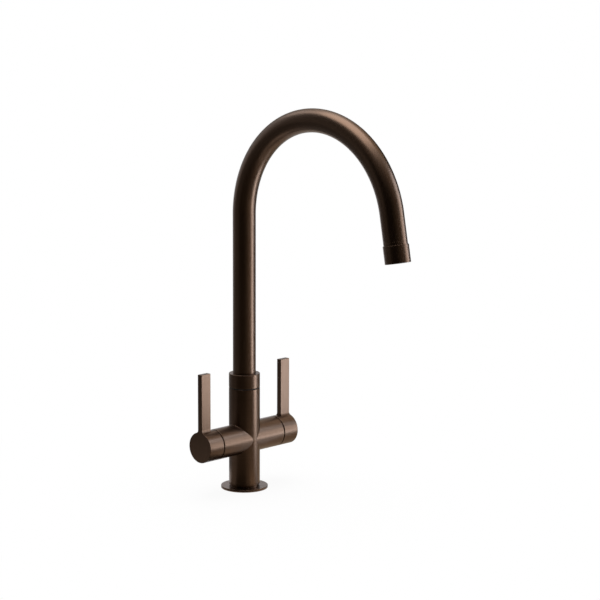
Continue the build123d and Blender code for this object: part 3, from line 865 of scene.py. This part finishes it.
def tube_tree():
    """Geometry nodes that lay points along column, bend and outlet, and sweep a circle along them."""
    tree = bpy.data.node_groups.new("swept_tube", "GeometryNodeTree")
    sizes = ("Foot", "Column", "Bend Radius", "Bend Angle", "Outlet", "Tube Radius")
    kinds = {name: "Float" for name in sizes} | {"Steps": "Int", "Around": "Int", "Finish": "Material"}
    for name, kind in kinds.items():
        tree.interface.new_socket(name, in_out="INPUT", socket_type="NodeSocket" + kind)
    tree.interface.new_socket("Geometry", in_out="OUTPUT", socket_type="NodeSocketGeometry")
    given = tree.nodes.new("NodeGroupInput").outputs

    def add(kind, inputs=None, **settings):
        node = tree.nodes.new(kind)
        for name, value in settings.items():
            setattr(node, name, value)
        for name, value in (inputs or {}).items():
            if isinstance(value, bpy.types.NodeSocket):
                tree.links.new(value, node.inputs[name])
            else:
                node.inputs[name].default_value = value
        return node.outputs[0]

    def maths(operation, *values):
        return add("ShaderNodeMath", dict(enumerate(values)), operation=operation)

    bend_run = maths("MULTIPLY", given["Bend Radius"], given["Bend Angle"])
    total = maths("ADD", maths("ADD", given["Column"], bend_run), given["Outlet"])
    line = add("GeometryNodeMeshLine", {"Count": given["Steps"]})
    share = maths("DIVIDE", add("GeometryNodeInputIndex"), maths("SUBTRACT", given["Steps"], 1))
    run = maths("MULTIPLY", share, total)
    on_column = maths("MINIMUM", run, given["Column"])
    past_column = maths("SUBTRACT", run, on_column)
    on_bend = maths("MINIMUM", past_column, bend_run)
    on_outlet = maths("SUBTRACT", past_column, on_bend)
    angle = maths("DIVIDE", on_bend, given["Bend Radius"])
    cosine, sine = maths("COSINE", angle), maths("SINE", angle)
    back = maths("MULTIPLY", given["Bend Radius"], maths("SUBTRACT", cosine, 1))
    y = maths("SUBTRACT", back, maths("MULTIPLY", sine, on_outlet))
    rise = maths("ADD", maths("MULTIPLY", given["Bend Radius"], sine), maths("MULTIPLY", cosine, on_outlet))
    z = maths("ADD", maths("ADD", given["Foot"], on_column), rise)
    point = add("ShaderNodeCombineXYZ", {"Y": y, "Z": z})
    laid = add("GeometryNodeSetPosition", {"Geometry": line, "Position": point})
    path = add("GeometryNodeMeshToCurve", {"Mesh": laid})

    # The brush lines run along the tube, so across is the way round it, alike on both sides.
    ring = {"Resolution": given["Around"], "Radius": given["Tube Radius"]}
    circle = add("GeometryNodeCurvePrimitiveCircle", ring)
    turn_share = maths("DIVIDE", add("GeometryNodeInputIndex"), given["Around"])
    from_seam = maths("MULTIPLY", maths("ABSOLUTE", maths("SUBTRACT", turn_share, 0.5)), 2 * pi)
    profile = add(
        "GeometryNodeStoreNamedAttribute",
        {"Geometry": circle, "Name": "across", "Value": maths("MULTIPLY", from_seam, given["Tube Radius"])},
        data_type="FLOAT",
        domain="POINT",
    )
    skin = add("GeometryNodeCurveToMesh", {"Curve": path, "Profile Curve": profile})
    smooth = add("GeometryNodeSetShadeSmooth", {"Geometry": skin})
    whole = add("GeometryNodeRealizeInstances", {"Geometry": smooth})
    coated = add("GeometryNodeSetMaterial", {"Geometry": whole, "Material": given["Finish"]})
    tree.links.new(coated, tree.nodes.new("NodeGroupOutput").inputs[0])
    return tree


def grown(name, tree, values, wall):
    """A piece that a node tree makes, with its inputs set by name, and a wall inside it."""
    seed = bpy.data.objects.new(name + "_seed", bpy.data.meshes.new(name + "_seed"))
    scene.collection.objects.link(seed)
    modifier = seed.modifiers.new(name, "NODES")
    modifier.node_group = tree
    for item in tree.interface.items_tree:
        if item.name in values:
            modifier[item.identifier] = values[item.name]
    inwards = seed.modifiers.new("wall", "SOLIDIFY")
    inwards.thickness, inwards.offset = wall, -1
    data = plain_mesh(seed)
    bpy.data.objects.remove(seed)
    data.name = name
    data.set_sharp_from_angle(angle=crease_angle)
    piece = bpy.data.objects.new(name, data)
    scene.collection.objects.link(piece)
    return piece


tube = grown("arched_tube", tube_tree(), {
    "Foot": tube_foot * MM,
    "Column": (bend_foot - tube_foot) * MM,
    "Bend Radius": bend_radius * MM,
    "Bend Angle": bend_angle,
    "Outlet": (outlet_length - tube_short) * MM,
    "Tube Radius": tube_radius * MM,
    "Steps": 200,
    "Around": 96,
    "Finish": bronze,
}, tube_wall * MM)
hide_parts("spout_tube")
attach(tube, "spout")

# ---- Tube end and nozzle -------------------------------------------------------------------------
# The tube ends in a short turned sleeve, whose joint shows as a hairline. The nozzle is a slightly
# wider turned shell over it, with an inner lip that holds the aerator.

bend_end = Vector((0, bend_radius * (cos(bend_angle) - 1), bend_foot + bend_radius * sin(bend_angle)))
outlet_run = Vector((0, -sin(bend_angle), cos(bend_angle)))
up_nozzle = (-outlet_run).to_track_quat("Z", "X").to_matrix().to_4x4()
mouth = Matrix.Translation(bend_end + outlet_run * outlet_length) @ up_nozzle
tube_mouth = 11.0
nozzle_radius, nozzle_length, nozzle_bore_radius = 13.0, 18.0, 11.6
nozzle_lip_radius, nozzle_lip_height = 10.5, 1.2

tube_end = turned(
    "tube_end",
    [
        (tube_radius - tube_wall, tube_mouth),
        (tube_radius, tube_mouth),
        (tube_radius, tube_short, 0.2),
        (tube_radius - tube_wall, tube_short),
    ],
    bronze,
    mouth,
)
nozzle = turned(
    "nozzle",
    [
        (nozzle_lip_radius, 0, 0.2),
        (nozzle_radius, 0, 0.45),
        (nozzle_radius, nozzle_length, 0.22),
        (tube_seat_radius, nozzle_length, 0.1),
        (tube_seat_radius, tube_mouth),
        (nozzle_bore_radius, tube_mouth),
        (nozzle_bore_radius, nozzle_lip_height),
        (nozzle_lip_radius, nozzle_lip_height),
    ],
    bronze,
    mouth,
)
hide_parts("spout_tube")
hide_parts("aerator_housing")
for piece in (tube_end, nozzle):
    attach(piece, "spout")

# ---- Inner pieces --------------------------------------------------------------------------------
# Tail, seals, valves, screws and aerator keep their CAD shapes: turned brass, black rubber, lapped
# ceramic, stainless steel and moulded acetal.


def turned_brass():
    """Bare turned brass with fine tool marks and a little tarnish."""
    finish = Finish("turned_brass")
    place = finish.node("ShaderNodeTexCoord", output="Object")
    around = {"Vector": place, "Scale": 420.0, "Distortion": 1.2}
    on_sides = finish.node("ShaderNodeTexWave", {"bands_direction": "Z"}, around)
    on_ends = finish.node("ShaderNodeTexWave", {"wave_type": "RINGS", "rings_direction": "Z"}, around)
    tarnish, wear = finish.noise(place, 90.0, 4.0), finish.noise(place, 700.0, 3.0)
    tone = tarnish * 0.7 + wear * 0.3
    colour = finish.blend(tone, (0.80, 0.60, 0.31, 1), (0.56, 0.39, 0.19, 1))
    marks = on_sides + on_ends + wear * 0.5
    bumped = finish.node("ShaderNodeBump", inputs={"Height": marks, "Distance": 0.01 * MM, "Strength": 1.0})
    brass = finish.node(
        "ShaderNodeBsdfPrincipled",
        inputs={"Base Color": colour, "Metallic": 1.0, "Roughness": 0.24 + tarnish * 0.15, "Normal": bumped},
    )
    return finish.surface(brass)


def black_rubber():
    """Matt black seal rubber."""
    finish = Finish("black_rubber")
    place = finish.node("ShaderNodeTexCoord", output="Object")
    grain, bloom = finish.noise(place, 2200.0, 3.0), finish.noise(place, 150.0, 3.0)
    colour = finish.blend(bloom, (0.014, 0.014, 0.014, 1), (0.035, 0.034, 0.033, 1))
    bumped = finish.node("ShaderNodeBump", inputs={"Height": grain, "Distance": 0.02 * MM, "Strength": 0.7})
    rubber = finish.node(
        "ShaderNodeBsdfPrincipled",
        inputs={"Base Color": colour, "Roughness": 0.6 + bloom * 0.2, "Normal": bumped},
    )
    return finish.surface(rubber)


def lapped_ceramic():
    """White alumina, lapped to a dull shine, with a fine dark speckle."""
    finish = Finish("lapped_ceramic")
    place = finish.node("ShaderNodeTexCoord", output="Object")
    speckle = finish.noise(place, 4000.0, 2.0)
    colour = finish.blend(speckle ** 3, (0.88, 0.87, 0.83, 1), (0.70, 0.69, 0.66, 1))
    ceramic = finish.node(
        "ShaderNodeBsdfPrincipled",
        inputs={"Base Color": colour, "Roughness": 0.16 + speckle * 0.08},
    )
    return finish.surface(ceramic)


def stainless_steel():
    """Plain stainless steel with faint drawing marks."""
    finish = Finish("stainless_steel")
    place = finish.node("ShaderNodeTexCoord", output="Object")
    marks = finish.noise(place, 1800.0, 3.0)
    colour = finish.blend(marks, (0.50, 0.49, 0.47, 1), (0.64, 0.63, 0.61, 1))
    bumped = finish.node("ShaderNodeBump", inputs={"Height": marks, "Distance": 0.01 * MM, "Strength": 0.5})
    steel = finish.node(
        "ShaderNodeBsdfPrincipled",
        inputs={"Base Color": colour, "Metallic": 1.0, "Roughness": 0.26 + marks * 0.12, "Normal": bumped},
    )
    return finish.surface(steel)


inner_finishes = {
    "raw_brass": turned_brass(),
    "rubber": black_rubber(),
    "ceramic": lapped_ceramic(),
    "steel": stainless_steel(),
    "polymer": acetal,
}
valve_finishes = {
    "valve_housing": "raw_brass",
    "valve_housing_seal": "rubber",
    "seat_seal": "rubber",
    "fixed_disc": "ceramic",
    "moving_disc": "ceramic",
    "spindle": "raw_brass",
    "spindle_seals": "rubber",
    "spindle_circlip": "steel",
    "spline_adapter": "raw_brass",
    "lever_screw": "steel",
}
node_finishes = {
    "base_seal": "rubber",
    "inlet_block": "raw_brass",
    "spout_retaining_screw": "steel",
    "spout_tail": "raw_brass",
    "spout_seals": "rubber",
    "aerator_washer": "rubber",
    "aerator_insert": "polymer",
    "aerator_regulator": "polymer",
}
for hand in sides:
    node_finishes.update({f"{hand}_{name}": slot for name, slot in valve_finishes.items()})
for name, slot in node_finishes.items():
    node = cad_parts[name]
    node.data.materials.clear()
    node.data.materials.append(inner_finishes[slot])
